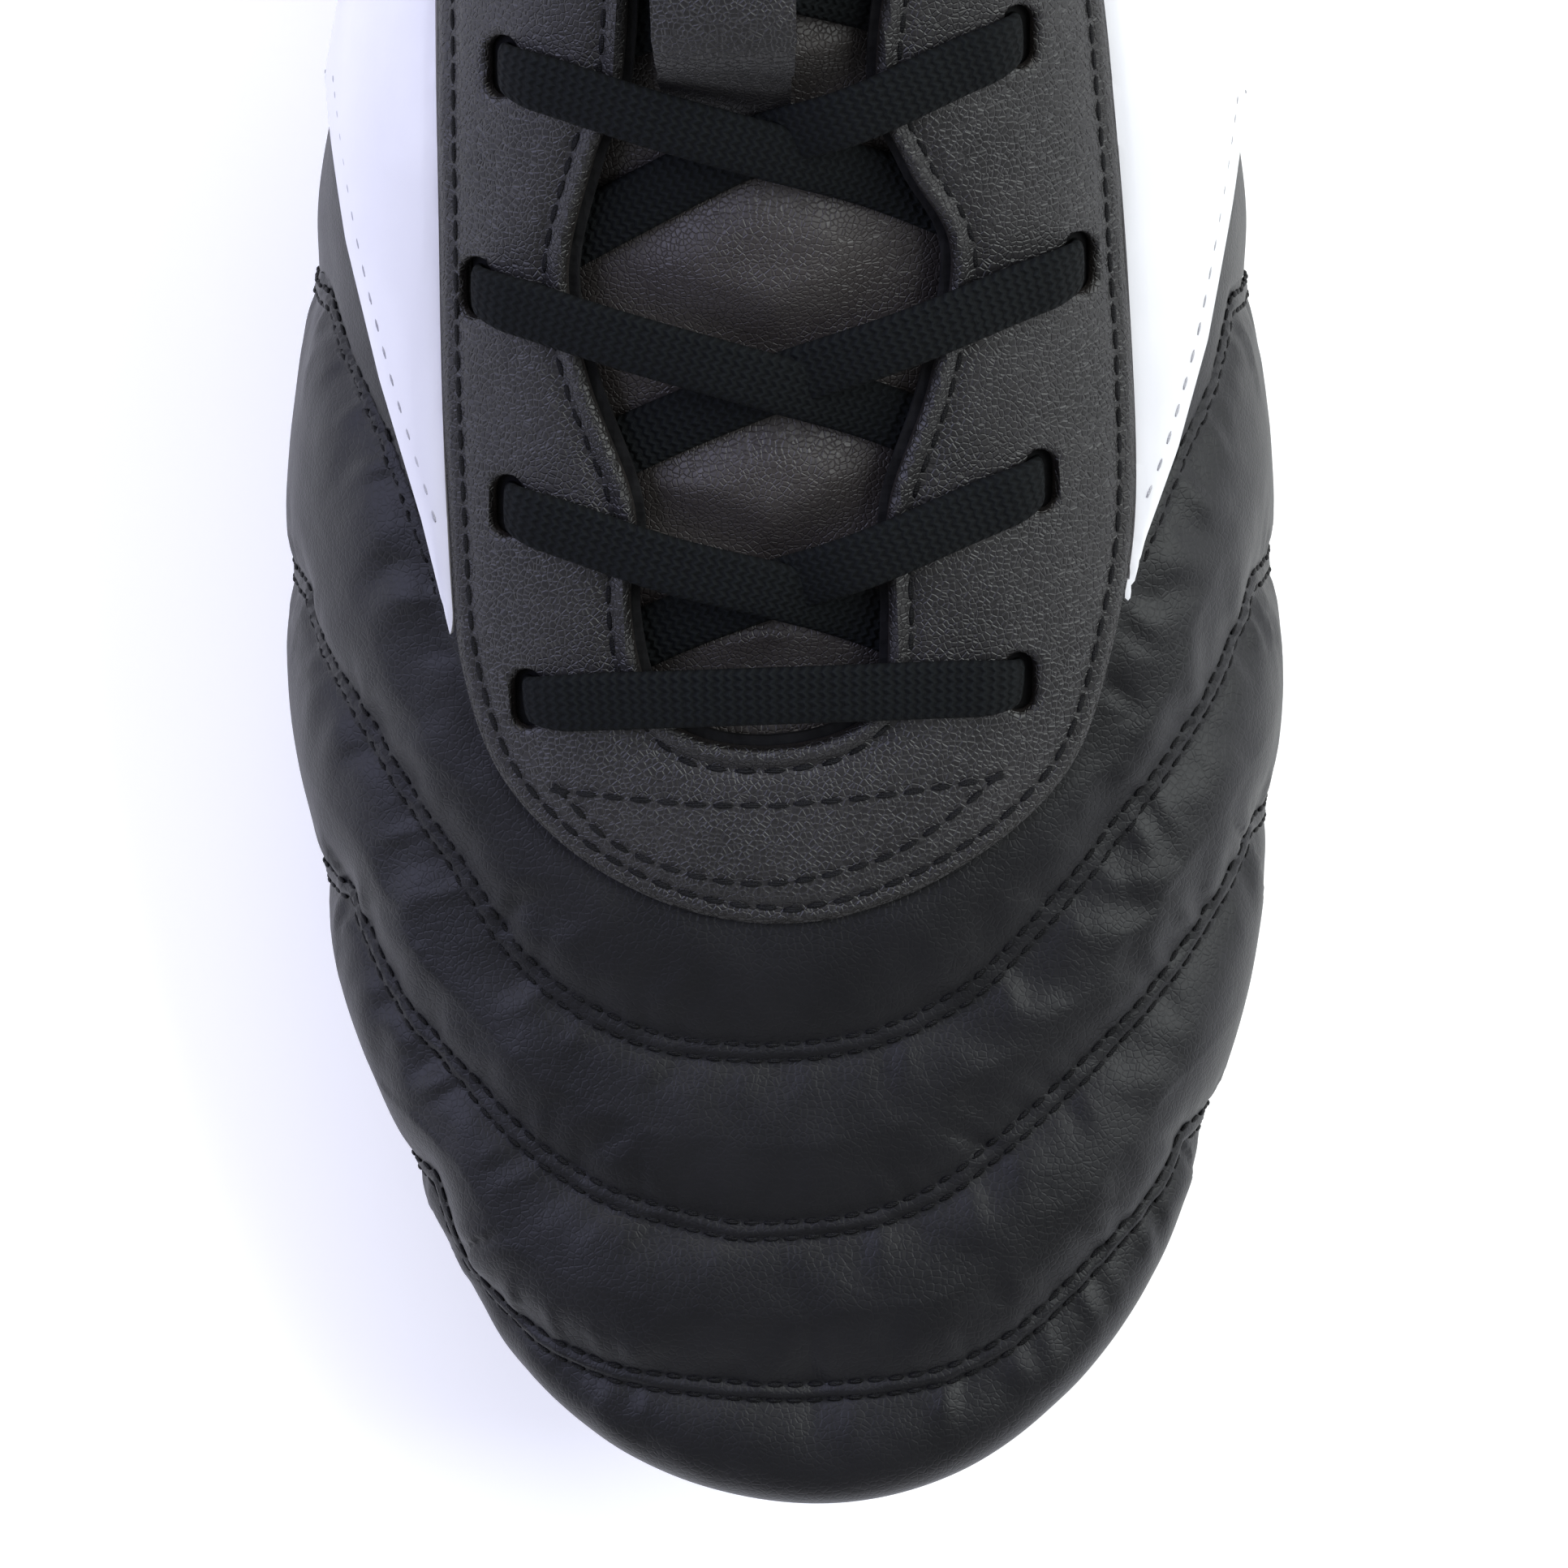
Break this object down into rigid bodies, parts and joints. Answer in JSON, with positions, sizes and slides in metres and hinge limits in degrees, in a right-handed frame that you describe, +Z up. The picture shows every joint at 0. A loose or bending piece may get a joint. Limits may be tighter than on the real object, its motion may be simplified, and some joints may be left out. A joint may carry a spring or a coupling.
{
  "type": "soccer boot",
  "caption": "Right-foot leather soccer boot with screw-in studs, quilted vamp, laced eyestay, padded tongue and removable sockliner.",
  "frame": {"origin": "on the ground under the middle of the boot, measured without the bow", "axes": "+Z up, toe towards -Y, heel towards +Y, inner (big toe) side towards +X"},
  "size_m": [0.1012, 0.2866, 0.1265],
  "materials": {
    "quilted_leather": "satin black calf, quilted",
    "grain_leather": "pebbled brown-black leather",
    "white_synthetic": "glossy coated sheet",
    "lining_textile": "knitted lining",
    "foam": "open-cell foam",
    "stiffener": "thermoplastic stiffener sheet",
    "sole_nylon": "moulded nylon",
    "stud_aluminium": "turned",
    "insert_steel": "threaded insert",
    "shank_steel": "pressed spring steel",
    "board": "cellulose insole board",
    "sockliner_foam": "textile-faced EVA foam",
    "lace_braid": "flat woven braid",
    "aglet_film": "clear-coated film"
  },
  "bodies": {
    "root": {"aglet_inner": "aglet_film", "aglet_outer": "aglet_film", "backstay": "quilted_leather", "bow_loop_inner": "lace_braid", "bow_loop_outer": "lace_braid", "collar_binding": "quilted_leather", "collar_padding": "foam", "eyestay": "grain_leather", "eyestay_facing": "lining_textile", "heel_counter": "stiffener", "heel_lining": "lining_textile", "heel_overlay_inner": "quilted_leather", "heel_overlay_outer": "quilted_leather", "insert_front_inner": "insert_steel", "insert_front_outer": "insert_steel", "insert_heel_inner": "insert_steel", "insert_heel_outer": "insert_steel", "insert_middle_inner": "insert_steel", "insert_middle_outer": "insert_steel", "insole_board": "board", "lace": "lace_braid", "lace_keeper": "grain_leather", "lace_knot": "lace_braid", "lace_tail_inner": "lace_braid", "lace_tail_outer": "lace_braid", "quarter_inner": "quilted_leather", "quarter_lining_inner": "lining_textile", "quarter_lining_outer": "lining_textile", "quarter_outer": "quilted_leather", "shank": "shank_steel", "side_panel_inner": "white_synthetic", "side_panel_outer": "white_synthetic", "soleplate": "sole_nylon", "toe_puff": "stiffener", "tongue_cover": "grain_leather", "tongue_foam": "foam", "tongue_lining": "lining_textile", "vamp_foam": "foam", "vamp_leather": "quilted_leather", "vamp_lining": "lining_textile"},
    "stud_front_inner": {"stud_front_inner": "stud_aluminium"},
    "stud_front_outer": {"stud_front_outer": "stud_aluminium"},
    "stud_heel_inner": {"stud_heel_inner": "stud_aluminium"},
    "stud_heel_outer": {"stud_heel_outer": "stud_aluminium"},
    "stud_middle_inner": {"stud_middle_inner": "stud_aluminium"},
    "stud_middle_outer": {"stud_middle_outer": "stud_aluminium"},
    "tongue_tip": {"tongue_tip_cover": "grain_leather", "tongue_tip_foam": "foam", "tongue_tip_lining": "lining_textile"},
    "sockliner": {"sockliner": "sockliner_foam"}
  },
  "joints": [
    {"name": "stud_front_inner_turn", "type": "hinge", "parent": "root", "child": "stud_front_inner", "pos_m": [0.02723, -0.0933, 0.01], "axis": [0, 0, 1], "continuous": true},
    {"name": "stud_front_outer_turn", "type": "hinge", "parent": "root", "child": "stud_front_outer", "pos_m": [-0.02377, -0.0883, 0.01], "axis": [0, 0, 1], "continuous": true},
    {"name": "stud_heel_inner_turn", "type": "hinge", "parent": "root", "child": "stud_heel_inner", "pos_m": [0.01723, 0.0927, 0.01], "axis": [0, 0, 1], "continuous": true},
    {"name": "stud_heel_outer_turn", "type": "hinge", "parent": "root", "child": "stud_heel_outer", "pos_m": [-0.01677, 0.0927, 0.01], "axis": [0, 0, 1], "continuous": true},
    {"name": "stud_middle_inner_turn", "type": "hinge", "parent": "root", "child": "stud_middle_inner", "pos_m": [0.02823, -0.0473, 0.01], "axis": [0, 0, 1], "continuous": true},
    {"name": "stud_middle_outer_turn", "type": "hinge", "parent": "root", "child": "stud_middle_outer", "pos_m": [-0.02677, -0.0423, 0.01], "axis": [0, 0, 1], "continuous": true},
    {"name": "tongue_tip_fold", "type": "hinge", "parent": "root", "child": "tongue_tip", "pos_m": [-0.00254, 0.06185, 0.11777], "axis": [1, 0, 0], "range_deg": [0, 35]},
    {"name": "sockliner_lift", "type": "hinge", "parent": "root", "child": "sockliner", "pos_m": [0, -0.1321, 0.02731], "axis": [1, 0, 0], "range_deg": [0, 3.5]}
  ]
}
